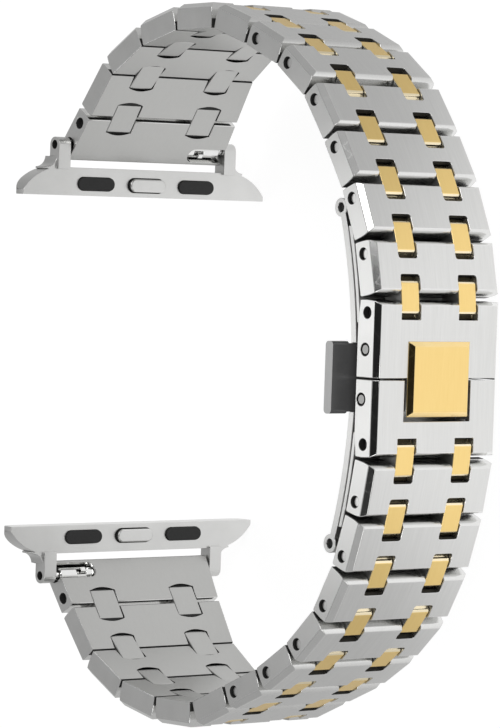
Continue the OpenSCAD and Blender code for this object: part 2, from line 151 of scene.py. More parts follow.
def makeCamera(plan):
    around, raised, rolled = (math.radians(plan[key]) for key in ("around", "raised", "rolled"))
    back = Vector((math.cos(raised) * math.cos(around), math.sin(raised), math.cos(raised) * math.sin(around)))
    side = Vector((math.sin(around), 0, -math.cos(around)))
    rise = back.cross(side)
    right = side * math.cos(rolled) + rise * math.sin(rolled)
    up = rise * math.cos(rolled) - side * math.sin(rolled)
    data = bpy.data.cameras.new("photo camera")
    data.sensor_fit = "AUTO"
    data.sensor_width = 36
    data.lens = plan["lens"]
    data.clip_start, data.clip_end = 0.02, 20
    camera = bpy.data.objects.new("photo camera", data)
    bpy.context.scene.collection.objects.link(camera)
    where = (Vector(plan["target"]) + back * plan["distance"]) * mm
    turn = Matrix((right, up, back)).transposed().to_4x4()
    camera.matrix_world = Matrix.Translation(where) @ turn
    bpy.context.scene.camera = camera


makeCamera(photoCamera)
print("camera set")


# Shared surface effects, as shader node groups

def brushGroup():
    # fine streaks along the chain: they change quickly across it (Z) and slowly along it
    tree, given, result = newTree("brushed streaks", "ShaderNodeTree",
        [("Vector", "NodeSocketVector", None), ("Across", "NodeSocketFloat", 2600.0),
         ("Along", "NodeSocketFloat", 90.0), ("Contrast", "NodeSocketFloat", 0.5)],
        [("Streaks", "NodeSocketFloat"), ("Height", "NodeSocketFloat")])
    scale = wire(tree, "ShaderNodeCombineXYZ", {0: given.outputs["Along"], 1: given.outputs["Along"],
        2: given.outputs["Across"]})
    spread = wire(tree, "ShaderNodeVectorMath", {0: given.outputs["Vector"], 1: scale.outputs[0]},
        operation="MULTIPLY")
    broad = wire(tree, "ShaderNodeTexNoise", {"Vector": spread.outputs[0], "Scale": 1.0, "Detail": 4.0,
        "Roughness": 0.65})
    fine = wire(tree, "ShaderNodeTexNoise", {"Vector": spread.outputs[0], "Scale": 3.7, "Detail": 2.0,
        "Roughness": 0.5})
    both = sum2(tree, sum2(tree, broad.outputs[0], fine.outputs[0]), 0.5, "MULTIPLY")
    centred = sum2(tree, both, 0.5, "SUBTRACT")
    strong = sum2(tree, centred, given.outputs["Contrast"], "MULTIPLY")
    streaks = wire(tree, "ShaderNodeMath", {0: strong, 1: 0.5}, operation="ADD", use_clamp=True)
    tree.links.new(streaks.outputs[0], result.inputs["Streaks"])
    tree.links.new(both, result.inputs["Height"])
    return tree


def grainGroup():
    # fine sandblasted grain with a slow cloudiness under it
    tree, given, result = newTree("blasted grain", "ShaderNodeTree",
        [("Vector", "NodeSocketVector", None), ("Grain", "NodeSocketFloat", 9000.0),
         ("Clouds", "NodeSocketFloat", 260.0)],
        [("Grain", "NodeSocketFloat"), ("Clouds", "NodeSocketFloat")])
    grain = wire(tree, "ShaderNodeTexNoise", {"Vector": given.outputs["Vector"],
        "Scale": given.outputs["Grain"], "Detail": 2.0, "Roughness": 0.6})
    clouds = wire(tree, "ShaderNodeTexNoise", {"Vector": given.outputs["Vector"],
        "Scale": given.outputs["Clouds"], "Detail": 5.0, "Roughness": 0.6})
    tree.links.new(grain.outputs[0], result.inputs["Grain"])
    tree.links.new(clouds.outputs[0], result.inputs["Clouds"])
    return tree


def wearGroup():
    # thin hairlines in changing directions, as light wear leaves on polished metal
    tree, given, result = newTree("hairline wear", "ShaderNodeTree",
        [("Vector", "NodeSocketVector", None), ("Scale", "NodeSocketFloat", 300.0),
         ("Width", "NodeSocketFloat", 0.012)],
        [("Hairlines", "NodeSocketFloat")])
    bend = wire(tree, "ShaderNodeTexNoise", {"Vector": given.outputs["Vector"], "Scale": 140.0, "Detail": 2.0})
    moved = wire(tree, "ShaderNodeVectorMath", {0: bend.outputs[1], 1: (0.004, 0.004, 0.004)}, operation="MULTIPLY")
    place = wire(tree, "ShaderNodeVectorMath", {0: given.outputs["Vector"], 1: moved.outputs[0]}, operation="ADD")
    cells = wire(tree, "ShaderNodeTexVoronoi", {"Vector": place.outputs[0], "Scale": given.outputs["Scale"]},
        feature="DISTANCE_TO_EDGE")
    line = wire(tree, "ShaderNodeMath", {0: cells.outputs["Distance"], 1: given.outputs["Width"]},
        operation="LESS_THAN")
    tree.links.new(line.outputs[0], result.inputs["Hairlines"])
    return tree


brushed, blasted, worn = brushGroup(), grainGroup(), wearGroup()


def newMaterial(name):
    material = bpy.data.materials.new(name)
    material.use_nodes = True
    tree = material.node_tree
    tree.nodes.clear()
    shader = tree.nodes.new("ShaderNodeBsdfPrincipled")
    wire(tree, "ShaderNodeOutputMaterial", {"Surface": shader.outputs[0]})
    place = tree.nodes.new("ShaderNodeTexCoord").outputs["Object"]
    return material, tree, shader, place


def tint(tree, mask, dark, light):
    mix = wire(tree, "ShaderNodeMix", data_type="RGBA")
    tree.links.new(mask, mix.inputs[0])
    mix.inputs[6].default_value = (*dark, 1)
    mix.inputs[7].default_value = (*light, 1)
    return mix.outputs[2]


def ranged(tree, value, low, high):
    return wire(tree, "ShaderNodeMapRange", {"Value": value, "To Min": low, "To Max": high}).outputs[0]


def bump(tree, shader, height, strength, distance):
    node = wire(tree, "ShaderNodeBump", {"Height": height, "Strength": strength, "Distance": distance})
    tree.links.new(node.outputs[0], shader.inputs["Normal"])


def satinMetal(name, plan):
    material, tree, shader, place = newMaterial(name)
    streaks = wire(tree, "ShaderNodeGroup", node_tree=brushed)
    tree.links.new(place, streaks.inputs["Vector"])
    streaks.inputs["Across"].default_value = plan["across"]
    streaks.inputs["Along"].default_value = plan["along"]
    streaks.inputs["Contrast"].default_value = plan["contrast"]
    tree.links.new(tint(tree, streaks.outputs["Streaks"], plan["dark"], plan["light"]), shader.inputs["Base Color"])
    tree.links.new(ranged(tree, streaks.outputs["Streaks"], *plan["roughness"]), shader.inputs["Roughness"])
    shader.inputs["Metallic"].default_value = 1
    bump(tree, shader, streaks.outputs["Height"], plan["relief"], reliefDepth)
    return material


mirrorPlan = {"clouds": 420.0, "detail": 3.0, "hairRoughness": 0.06, "relief": 0.08}


def polishedMetal(name, plan):
    material, tree, shader, place = newMaterial(name)
    lines = wire(tree, "ShaderNodeGroup", node_tree=worn)
    tree.links.new(place, lines.inputs["Vector"])
    clouds = wire(tree, "ShaderNodeTexNoise", {"Vector": place, "Scale": mirrorPlan["clouds"],
        "Detail": mirrorPlan["detail"]})
    tree.links.new(tint(tree, clouds.outputs[0], plan["dark"], plan["light"]), shader.inputs["Base Color"])
    rough = ranged(tree, clouds.outputs[0], *plan["roughness"])
    more = sum2(tree, lines.outputs["Hairlines"], mirrorPlan["hairRoughness"], "MULTIPLY")
    tree.links.new(sum2(tree, rough, more), shader.inputs["Roughness"])
    shader.inputs["Metallic"].default_value = 1
    bump(tree, shader, clouds.outputs[0], mirrorPlan["relief"], mirrorDepth)
    return material


def grainedSurface(name, plan):
    material, tree, shader, place = newMaterial(name)
    grain = wire(tree, "ShaderNodeGroup", node_tree=blasted)
    tree.links.new(place, grain.inputs["Vector"])
    grain.inputs["Grain"].default_value = plan["grain"]
    tree.links.new(tint(tree, grain.outputs["Clouds"], plan["dark"], plan["light"]), shader.inputs["Base Color"])
    tree.links.new(ranged(tree, grain.outputs["Grain"], *plan["roughness"]), shader.inputs["Roughness"])
    shader.inputs["Metallic"].default_value = plan["metallic"]
    bump(tree, shader, grain.outputs["Grain"], plan["relief"], reliefDepth)
    return material


satinSteel = satinMetal("satin steel", {"dark": (0.63, 0.63, 0.62), "light": (0.83, 0.83, 0.82),
    "across": 2600.0, "along": 90.0, "contrast": 0.9, "roughness": (0.26, 0.38), "relief": 0.10})
polishedSteel = polishedMetal("polished steel", {"dark": (0.74, 0.74, 0.73), "light": (0.86, 0.86, 0.85),
    "roughness": (0.07, 0.12)})
noseSteel = satinMetal("nose steel", {"dark": (0.70, 0.70, 0.69), "light": (0.84, 0.84, 0.83),
    "across": 1600.0, "along": 400.0, "contrast": 0.6, "roughness": (0.18, 0.28), "relief": 0.04})
# a darker copy of satin steel for faces turned into the loop, connector sides and small rods: painted shade
shadedInnerSteel = satinMetal("inner steel with painted shade", {"dark": (0.44, 0.44, 0.43), "light": (0.54, 0.54, 0.53),
    "across": 1500.0, "along": 500.0, "contrast": 0.6, "roughness": (0.34, 0.46), "relief": 0.06})
strapSteel = satinMetal("strap steel", {"dark": (0.60, 0.60, 0.59), "light": (0.74, 0.74, 0.73),
    "across": 1800.0, "along": 260.0, "contrast": 0.6, "roughness": (0.28, 0.38), "relief": 0.05})
buttonSteel = satinMetal("button steel", {"dark": (0.36, 0.36, 0.36), "light": (0.44, 0.44, 0.44),
    "across": 700.0, "along": 900.0, "contrast": 0.6, "roughness": (0.32, 0.42), "relief": 0.06})
# near-black painted shade, put on pocket walls, bores, hole walls, grooves and the gaps between parts where shade
# falls
pocketShade = grainedSurface("painted pocket shade", {"dark": (0.010, 0.010, 0.010), "light": (0.022, 0.022, 0.021),
    "grain": 6000.0, "roughness": (0.55, 0.75), "relief": 0.10, "metallic": 0.0})
satinGold = satinMetal("satin gold", {"dark": (0.86, 0.60, 0.21), "light": (1.0, 0.76, 0.33),
    "across": 3000.0, "along": 120.0, "contrast": 0.7, "roughness": (0.26, 0.36), "relief": 0.08})
polishedGold = polishedMetal("polished gold", {"dark": (0.90, 0.64, 0.25), "light": (1.0, 0.80, 0.42),
    "roughness": (0.09, 0.14)})
paleGold = polishedMetal("pale gold", {"dark": (0.94, 0.80, 0.52), "light": (1.0, 0.90, 0.68),
    "roughness": (0.16, 0.24)})
blastedSteel = grainedSurface("blasted steel", {"dark": (0.62, 0.62, 0.61), "light": (0.74, 0.74, 0.73),
    "grain": 9000.0, "roughness": (0.29, 0.41), "relief": 0.12, "metallic": 1.0})
blackCoat = grainedSurface("black coating", {"dark": (0.052, 0.052, 0.053), "light": (0.086, 0.086, 0.087),
    "grain": 7000.0, "roughness": (0.26, 0.36), "relief": 0.05, "metallic": 0.0})
blackRubber = grainedSurface("black rubber", {"dark": (0.011, 0.011, 0.011), "light": (0.020, 0.020, 0.020),
    "grain": 5200.0, "roughness": (0.55, 0.72), "relief": 0.10, "metallic": 0.0})
print("materials made")


# Links: a layered side form, sized by a node tree

linkPlan = {
    "halfPitch": 1.375,
    "inner": -1.05, "outer": 1.55, "shoulder": 1.05,
    "nose": [(1.125, -1.05), (1.205, -0.97), (1.23, -0.55), (1.245, -0.1), (1.24, 0.3), (1.215, 0.7),
        (1.155, 1.05), (1.094, 1.189), (1.019, 1.319), (0.929, 1.439), (0.825, 1.55)],
    "pocket": 1.08, "pocketSteps": 8, "slotEnd": 0.6, "slotCorner": 0.28, "wallEase": 0.55,
    "shadeMargin": 0.2,  # the pocket's painted shade ends this far from the pins
    "edge": 0.05,
    "clasp": {"width": 15.6, "pair": 3.6, "connector": 2.2},
    "watch": {"width": 19.4, "pair": 5.3, "connector": 3.1},
    "narrowing": 5, "slotGap": 0.08,
    "bore": 0.57, "boreDepth": 0.7, "flare": 0.05, "flareDepth": 0.07, "sides": 28,
    "pin": 0.43, "pinLength": 0.9, "pinSunk": 0.05,  # the pin's turned-down end
    "noseFrom": 0.35, "innerFrom": 0.9,  # share of a face's normal along the link, and inwards
    "scoop": 0.36, "scoopFrom": -0.45, "scoopHalf": 1.3,  # the cutter's arc at a slot's end, on the inner face
    "scoopRows": (-0.6, -0.3, 0, 0.3, 0.6), "cornerSteps": 4,
    "step": 5.6,  # from one link to the next
}


def spread(k):
    return max(0.0, 1 - (11 - k) / linkPlan["narrowing"])


def between(key, share):
    a, b = linkPlan["clasp"][key], linkPlan["watch"][key]
    return a + (b - a) * share


def slotOutline(ease, scoop=0.0):
    # pocket wall of a slot, from the inner face to the outer one; its corners are eased at the top
    r, end = linkPlan["pocket"], linkPlan["slotEnd"]
    start, inner = linkPlan["scoopFrom"], linkPlan["inner"]
    first, last = math.pi - math.asin(inner / r), math.pi - math.asin(math.sqrt(r * r - end * end) / r)
    steps = linkPlan["pocketSteps"]
    turns = [first + (last - first) * i / steps for i in range(steps + 1)]
    arc = [(r * math.cos(turn), r * math.sin(turn)) for turn in turns]
    arc = [(x - scoop * linkPlan["scoop"] * max(0.0, (start - y) / (start - inner)), y) for x, y in arc]
    top = arc[-1][1]
    wall = [(-end + ease * linkPlan["wallEase"], (top + linkPlan["outer"]) / 2), (-end + ease, linkPlan["outer"])]
    return arc + wall


def ringPoints(kind, ease=0.0, scoop=0.0):
    half, full = linkPlan["halfPitch"], linkPlan["nose"]
    opened = slotOutline(ease, scoop)
    def side(points, sign, edgeX):
        lows, tops = opened[0][0], -linkPlan["slotEnd"] + (linkPlan["slotCorner"] if edgeX else ease)
        row = [(lows, linkPlan["inner"])] + points + [(tops, linkPlan["outer"])]
        return [(sign * (half + x), y) for x, y in row]
    near = full if kind == "full" else opened
    right = side(near, 1, kind == "full")
    left = side(near, -1, kind == "full")
    return right + left[::-1]


def linkMesh():
    rings = []  # outline, share of side, share of pair, share of slot, shift
    corner, steps, reach = (linkPlan[key] for key in ("slotCorner", "cornerSteps", "scoopHalf"))
    eased = [(corner * (1 - math.cos(t)), corner * (1 - math.sin(t)))
             for t in [math.pi / 2 * i / steps for i in range(steps + 1)]]
    def depth(share):
        return 1 - share * share
    rings.append((ringPoints("full"), 0, 1, -1, 0))
    rings += [(ringPoints("slot", ease, depth(1 - shift / reach)), 0, 1, -1, shift) for shift, ease in eased]
    rings += [(ringPoints("slot", 0.0, depth(share)), 0, 1, share, 0) for share in linkPlan["scoopRows"]]
    rings += [(ringPoints("slot", ease, depth(1 - shift / reach)), 0, 1, 1, -shift) for shift, ease in eased[::-1]]
    rings.append((ringPoints("full"), 0, 1, 1, 0))
    rings.append((ringPoints("full"), 1, 0, 0, None))
    rows = [(pts, -a, -b, -c, d, -1) for pts, a, b, c, d in rings[::-1]] + [(*ring, 1) for ring in rings]
    form = bmesh.new()
    sideShare, pairShare, slotShare, shiftBy = (form.verts.layers.float.new(name)
        for name in ("sideShare", "pairShare", "slotShare", "shift"))
    clasp, made = linkPlan["clasp"], []
    side, pair, slot = clasp["width"] / 2, clasp["pair"], clasp["connector"] / 2 + linkPlan["slotGap"]
    for pts, a, b, c, shift, sign in rows:
        loop = []
        for x, y in pts:
            move = -max(0.0, y - linkPlan["shoulder"]) if shift is None else shift
            z = a * side + b * pair + c * slot + sign * move
            vert = form.verts.new((x, y, z))
            vert[sideShare], vert[pairShare], vert[slotShare], vert[shiftBy] = a, b, c, sign * move
            loop.append(vert)
        made.append(loop)
    count = len(made[0])
    half = linkPlan["halfPitch"]
    for low, high in zip(made[:-1], made[1:]):
        for i in range(count):
            j = (i + 1) % count
            face = form.faces.new((low[i], low[j], high[j], high[i]))
            x, y = abs((low[i].co.x + high[j].co.x) / 2), (low[i].co.y + low[j].co.y) / 2
            level = low[i].co.y == low[j].co.y == high[i].co.y
            widest = max(x, abs(low[i].co.x), abs(high[j].co.x))
            inSlot = widest < half - linkPlan["shadeMargin"] or x > half and y < 0
            # slot pocket walls take index 1, the near-black painted shade
            face.material_index = 1 if inSlot and not level and abs(y) < linkPlan["outer"] else 0
    topAt = 1 + [y for x, y in linkPlan["nose"]].index(linkPlan["shoulder"])
    for loop, flip in ((made[0], True), (made[-1], False)):
        cap = loop[:topAt + 1] + loop[count - topAt - 1:]
        bevel = loop[topAt:count - topAt]
        for face in (cap, bevel):
            form.faces.new(face[::-1] if flip else face)
    bmesh.ops.remove_doubles(form, verts=form.verts, dist=1e-5)
    bmesh.ops.dissolve_degenerate(form, edges=form.edges, dist=1e-5)
    bmesh.ops.recalc_face_normals(form, faces=form.faces)
    mesh = bpy.data.meshes.new("link form")
    form.to_mesh(mesh)
    form.free()
    return mesh


def linkTree():
    ins = [("Geometry", "NodeSocketGeometry", None)] + [(name, "NodeSocketFloat", 1.0) for name in
        ("Half width", "Narrowing", "Near pair", "Far pair", "Near slot", "Far slot")]
    tree, given, result = newTree("link sizes", "GeometryNodeTree", ins, [("Geometry", "NodeSocketGeometry")])
    g = given.outputs
    def share(name):
        return wire(tree, "GeometryNodeInputNamedAttribute", {"Name": name}, data_type="FLOAT").outputs[0]
    at = wire(tree, "ShaderNodeSeparateXYZ", {0: tree.nodes.new("GeometryNodeInputPosition").outputs[0]})
    near = sum2(tree, at.outputs[0], 0.0, "GREATER_THAN")
    def chosen(farName, nearName):
        mix = wire(tree, "ShaderNodeMix", {0: near, 2: g[farName], 3: g[nearName]}, data_type="FLOAT")
        return mix.outputs[0]
    width = sum2(tree, g["Half width"], sum2(tree, g["Narrowing"], at.outputs[0], "MULTIPLY"), "SUBTRACT")
    z = sum2(tree, share("sideShare"), width, "MULTIPLY")
    z = sum2(tree, z, sum2(tree, share("pairShare"), chosen("Far pair", "Near pair"), "MULTIPLY"))
    z = sum2(tree, z, sum2(tree, share("slotShare"), chosen("Far slot", "Near slot"), "MULTIPLY"))
    z = sum2(tree, z, share("shift"))
    place = wire(tree, "ShaderNodeCombineXYZ", {0: at.outputs[0], 1: at.outputs[1], 2: z})
    moved = wire(tree, "GeometryNodeSetPosition", {"Geometry": g["Geometry"], "Position": place.outputs[0]})
    tree.links.new(moved.outputs[0], result.inputs["Geometry"])
    return tree


def pinTree():
    # bores the open hole of the pin away from the clasp and sets the pin's end inside it; the bore's walls carry
    # painted shade
    ins = [("Geometry", "NodeSocketGeometry", None)] + [(name, "NodeSocketFloat", 1.0) for name in
        ("Half pitch", "Side", "Bore", "Depth", "Pin", "Front")]
    ins += [("Open", "NodeSocketBool", False),
            ("Steel", "NodeSocketMaterial", None), ("Polished", "NodeSocketMaterial", None),
            ("Nose", "NodeSocketMaterial", None), ("Inner", "NodeSocketMaterial", None),
            ("Dark", "NodeSocketMaterial", None)]
    tree, given, result = newTree("pin holes", "GeometryNodeTree", ins, [("Geometry", "NodeSocketGeometry")])
    g = given.outputs
    double = sum2(tree, g["Depth"], 2.0, "MULTIPLY")
    sides = linkPlan["sides"]
    bored = wire(tree, "GeometryNodeMeshCylinder", {"Vertices": sides, "Radius": g["Bore"], "Depth": double})
    bore = wire(tree, "GeometryNodeSetMaterial", {"Geometry": bored.outputs[0], "Material": g["Dark"]})
    flared = wire(tree, "GeometryNodeMeshCylinder", {"Vertices": sides,
        "Radius": sum2(tree, g["Bore"], linkPlan["flare"]), "Depth": linkPlan["flareDepth"]})
    mouth = wire(tree, "GeometryNodeSetMaterial", {"Geometry": flared.outputs[0], "Material": g["Dark"]})
    end = wire(tree, "GeometryNodeMeshCylinder", {"Vertices": sides, "Radius": g["Pin"],
        "Depth": linkPlan["pinLength"]})
    wide = wire(tree, "GeometryNodeSetMaterial", {"Geometry": end.outputs[0], "Material": g["Polished"]})
    far = sum2(tree, g["Half pitch"], -1.0, "MULTIPLY")
    def atPin(shape, inwards):
        z = sum2(tree, sum2(tree, g["Side"], inwards, "SUBTRACT"), g["Front"], "MULTIPLY")
        where = wire(tree, "ShaderNodeCombineXYZ", {0: far, 2: z})
        return wire(tree, "GeometryNodeTransform", {"Geometry": shape, "Translation": where.outputs[0]}).outputs[0]
    def ifOpen(shape):
        pick = wire(tree, "GeometryNodeSwitch", {0: g["Open"]}, input_type="GEOMETRY")
        tree.links.new(shape, pick.inputs[2])
        return pick.outputs[0]
    bores = wire(tree, "GeometryNodeJoinGeometry")
    for cutter in (bore, mouth):
        tree.links.new(atPin(cutter.outputs[0], 0.0), bores.inputs[0])
    cut = wire(tree, "GeometryNodeMeshBoolean", operation="DIFFERENCE", solver="EXACT")
    cut.inputs["Self Intersection"].default_value = True
    tree.links.new(g["Geometry"], cut.inputs[0])
    tree.links.new(ifOpen(bores.outputs[0]), cut.inputs[1])
    joined = wire(tree, "GeometryNodeJoinGeometry")
    tree.links.new(cut.outputs[0], joined.inputs[0])
    sunk = atPin(wide.outputs[0], sum2(tree, g["Depth"], linkPlan["pinSunk"]))
    tree.links.new(ifOpen(sunk), joined.inputs[0])
    whole = wire(tree, "GeometryNodeRealizeInstances", {"Geometry": joined.outputs[0]})
    isDark = wire(tree, "GeometryNodeMaterialSelection", {"Material": g["Dark"]}).outputs[0]
    kept = wire(tree, "FunctionNodeBooleanMath", {0: isDark}, operation="NOT").outputs[0]
    normal = wire(tree, "ShaderNodeSeparateXYZ", {0: tree.nodes.new("GeometryNodeInputNormal").outputs[0]})
    across = wire(tree, "ShaderNodeMath", {0: normal.outputs[2]}, operation="ABSOLUTE").outputs[0]
    endwise = wire(tree, "ShaderNodeMath", {0: normal.outputs[0]}, operation="ABSOLUTE").outputs[0]
    inwards = sum2(tree, normal.outputs[1], -1.0, "MULTIPLY")
    shape = whole.outputs[0]
    # bore walls keep the near-black painted shade; inner faces take the darker satin copy, also painted shade
    for finish, value, limit in (("Polished", across, -1.0), ("Nose", endwise, linkPlan["noseFrom"]),
            ("Steel", normal.outputs[1], flatFace), ("Steel", across, flatFace),
            ("Inner", inwards, linkPlan["innerFrom"])):
        chosen = wire(tree, "FunctionNodeBooleanMath", {0: kept, 1: sum2(tree, value, limit, "GREATER_THAN")},
            operation="AND").outputs[0]
        shape = wire(tree, "GeometryNodeSetMaterial", {"Geometry": shape, "Material": g[finish],
            "Selection": chosen}).outputs[0]
    tree.links.new(shape, result.inputs["Geometry"])
    return tree


def pinAt(name):
    return Vector(joints[name]["pos_m"])


def placeBetween(near, far, half):
    # X towards the clasp, Y outwards, in metres from millimetres
    along = (near - far).normalized()
    out = Vector((-along.y, along.x, 0)) * (1 if half == "upper" else -1)
    across = along.cross(out)
    middle = (near + far) / 2
    turn = Matrix((along, out, across)).transposed().to_4x4()
    return Matrix.Translation(middle) @ turn @ Matrix.Scale(mm, 4), (1 if across.z > 0 else -1)


def namesOf(half, k):
    link = f"{half}_end_link" if k == 11 else f"{half}_link_{k + 1:02d}"
    return link, f"{half}_connectors_{k + 1:02d}"


def pinsOf(half, k):
    link, connectors = namesOf(half, k)
    after = f"{half}_adapter_hinge" if k == 11 else namesOf(half, k + 1)[1] + "_hinge"
    return pinAt(connectors + "_hinge"), pinAt(link + "_hinge"), pinAt(after)


def makeLink(half, k, form, sizes, holes):
    name = namesOf(half, k)[0]
    place, front = placeBetween(*pinsOf(half, k)[1:], half)
    halfWidth = between("width", spread(k)) / 2
    wider = (linkPlan["watch"]["width"] - linkPlan["clasp"]["width"]) / 2
    narrowing = wider / (linkPlan["narrowing"] * linkPlan["step"]) if spread(k) > 0 else 0.0
    thing = newObject(name + "_body", form.copy())
    thing.data.materials.append(satinSteel)
    thing.data.materials.append(pocketShade)
    size = thing.modifiers.new("sizes", "NODES")
    size.node_group = sizes
    slots = [between("connector", spread(j - 0.5)) / 2 + linkPlan["slotGap"] for j in (k, k + 1)]
    pairs = [between("pair", spread(j - 0.5)) for j in (k, k + 1)]
    setInputs(size, {"Half width": halfWidth, "Narrowing": narrowing, "Near pair": pairs[0],
        "Far pair": pairs[1], "Near slot": slots[0], "Far slot": slots[1]})
    softenEdges(thing, linkPlan["edge"])
    bores = thing.modifiers.new("pin holes", "NODES")
    bores.node_group = holes
    pitch = linkPlan["halfPitch"]
    setInputs(bores, {"Half pitch": pitch, "Side": halfWidth + narrowing * pitch, "Bore": linkPlan["bore"],
        "Depth": linkPlan["boreDepth"], "Pin": linkPlan["pin"], "Front": float(front), "Open": k < 6,
        "Steel": satinSteel, "Polished": polishedSteel, "Nose": noseSteel, "Inner": shadedInnerSteel,
        "Dark": pocketShade})
    shadeSmooth(thing.data)
    weighNormals(thing)
    return bake(thing, place), name


linkForm, linkSizes, linkHoles = linkMesh(), linkTree(), pinTree()
for half in ("upper", "lower"):
    for k in range(11):
        thing, node = makeLink(half, k, linkForm, linkSizes, linkHoles)
        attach(thing, node)
        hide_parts(node)
print("links made")


# Connectors: a pair of bars on each pitch, set out by a node tree

connectorPlan = {
    "halfPitch": 1.425, "radius": 1.0, "outer": 1.45, "lip": 0.18, "edge": 0.06,
    "arc": (-90, 53), "arcSteps": 12,  # degrees round each pin
    "brow": [(0.05, -0.36), (-0.04, -0.15), (-0.28, 0)],  # from the end's outer corner, up to the face
    "goldFrom": 1.40, "shadeBelow": 0.80,  # mm above the pins: gold face, pale round end, and painted shade on the round end lower down in the pocket
    "paleFrom": 0.2, "goldFlat": 0.98,  # share of a face's normal along the chain, and outwards
}


def connectorMesh():
    p, r, top, lip = (connectorPlan[key] for key in ("halfPitch", "radius", "outer", "lip"))
    (start, stop), steps = connectorPlan["arc"], connectorPlan["arcSteps"]
    turns = [math.radians(start + (stop - start) * i / steps) for i in range(steps + 1)]
    arc = [(p + r * math.cos(t), r * math.sin(t)) for t in turns]
    right = arc + [(p + lip + x, top + y) for x, y in connectorPlan["brow"]]
    outline = right + [(-x, y) for x, y in right[::-1]]
    form = bmesh.new()
    rows = [[form.verts.new((x, y, z)) for x, y in outline] for z in (-0.5, 0.5)]
    count = len(outline)
    for i in range(count):
        j = (i + 1) % count
        form.faces.new((rows[0][i], rows[0][j], rows[1][j], rows[1][i]))
    form.faces.new(rows[1])
    form.faces.new(rows[0][::-1])
    bmesh.ops.recalc_face_normals(form, faces=form.faces)
    mesh = bpy.data.meshes.new("connector form")
    form.to_mesh(mesh)
    form.free()
    return mesh


def widthTree():
    tree, given, result = newTree("connector width", "GeometryNodeTree",
        [("Geometry", "NodeSocketGeometry", None), ("Width", "NodeSocketFloat", 2.2)],
        [("Geometry", "NodeSocketGeometry")])
    stretch = wire(tree, "ShaderNodeCombineXYZ", {0: 1.0, 1: 1.0, 2: given.outputs["Width"]})
    wide = wire(tree, "GeometryNodeTransform", {"Geometry": given.outputs["Geometry"], "Scale": stretch.outputs[0]})
    tree.links.new(wide.outputs[0], result.inputs["Geometry"])
    return tree


def pairTree():
    tree, given, result = newTree("connector pair", "GeometryNodeTree",
        [("Geometry", "NodeSocketGeometry", None), ("Pair", "NodeSocketFloat", 3.6),
         ("Steel", "NodeSocketMaterial", None), ("Gold", "NodeSocketMaterial", None),
         ("Gold edge", "NodeSocketMaterial", None), ("Pale", "NodeSocketMaterial", None),
         ("Dark", "NodeSocketMaterial", None)],
        [("Geometry", "NodeSocketGeometry")])
    g = given.outputs
    start = wire(tree, "ShaderNodeCombineXYZ", {2: sum2(tree, g["Pair"], -1.0, "MULTIPLY")})
    stop = wire(tree, "ShaderNodeCombineXYZ", {2: g["Pair"]})
    line = wire(tree, "GeometryNodeMeshLine", {"Count": 2, "Start Location": start.outputs[0],
        "Offset": stop.outputs[0]}, mode="END_POINTS")
    bars = wire(tree, "GeometryNodeInstanceOnPoints", {"Points": line.outputs[0], "Instance": g["Geometry"]})
    whole = wire(tree, "GeometryNodeRealizeInstances", {"Geometry": bars.outputs[0]})
    steel = wire(tree, "GeometryNodeSetMaterial", {"Geometry": whole.outputs[0], "Material": g["Steel"]})
    normal = wire(tree, "ShaderNodeSeparateXYZ", {0: tree.nodes.new("GeometryNodeInputNormal").outputs[0]})
    at = wire(tree, "ShaderNodeSeparateXYZ", {0: tree.nodes.new("GeometryNodeInputPosition").outputs[0]})
    level = at.outputs[1]
    ends = wire(tree, "ShaderNodeMath", {0: normal.outputs[0]}, operation="ABSOLUTE").outputs[0]
    pale = sum2(tree, ends, connectorPlan["paleFrom"], "GREATER_THAN")
    # round ends low in the gap between links take painted shade
    low = sum2(tree, level, connectorPlan["shadeBelow"], "LESS_THAN")
    deep = wire(tree, "FunctionNodeBooleanMath", {0: low, 1: pale}, operation="AND")
    high = sum2(tree, level, connectorPlan["goldFrom"], "GREATER_THAN")
    shape = steel.outputs[0]
    for finish, chosen in (("Pale", pale), ("Dark", deep.outputs[0]), ("Gold edge", high),
            ("Gold", sum2(tree, normal.outputs[1], connectorPlan["goldFlat"], "GREATER_THAN"))):
        shape = wire(tree, "GeometryNodeSetMaterial", {"Geometry": shape, "Material": g[finish],
            "Selection": chosen}).outputs[0]
    tree.links.new(shape, result.inputs["Geometry"])
    return tree


def makeConnectors(half, k, form, widths, pairs):
    name = namesOf(half, k)[1]
    place = placeBetween(*pinsOf(half, k)[:2], half)[0]
    thing = newObject(name + "_bars", form.copy())
    width = thing.modifiers.new("width", "NODES")
    width.node_group = widths
    setInputs(width, {"Width": between("connector", spread(k - 0.5))})
    softenEdges(thing, connectorPlan["edge"])
    shadeSmooth(thing.data)
    pair = thing.modifiers.new("pair", "NODES")
    pair.node_group = pairs
    setInputs(pair, {"Pair": between("pair", spread(k - 0.5)), "Steel": shadedInnerSteel, "Gold": satinGold,
        "Gold edge": polishedGold, "Pale": paleGold, "Dark": pocketShade})
    weighNormals(thing)
    return bake(thing, place), name


connectorForm, connectorWidths, connectorPairs = connectorMesh(), widthTree(), pairTree()
for half in ("upper", "lower"):
    for k in range(12):
        thing, node = makeConnectors(half, k, connectorForm, connectorWidths, connectorPairs)
        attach(thing, node)
        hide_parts(node)
print("connectors made")


# Pieces that keep their measured solids, with eased edges, finishes and painted shade by face

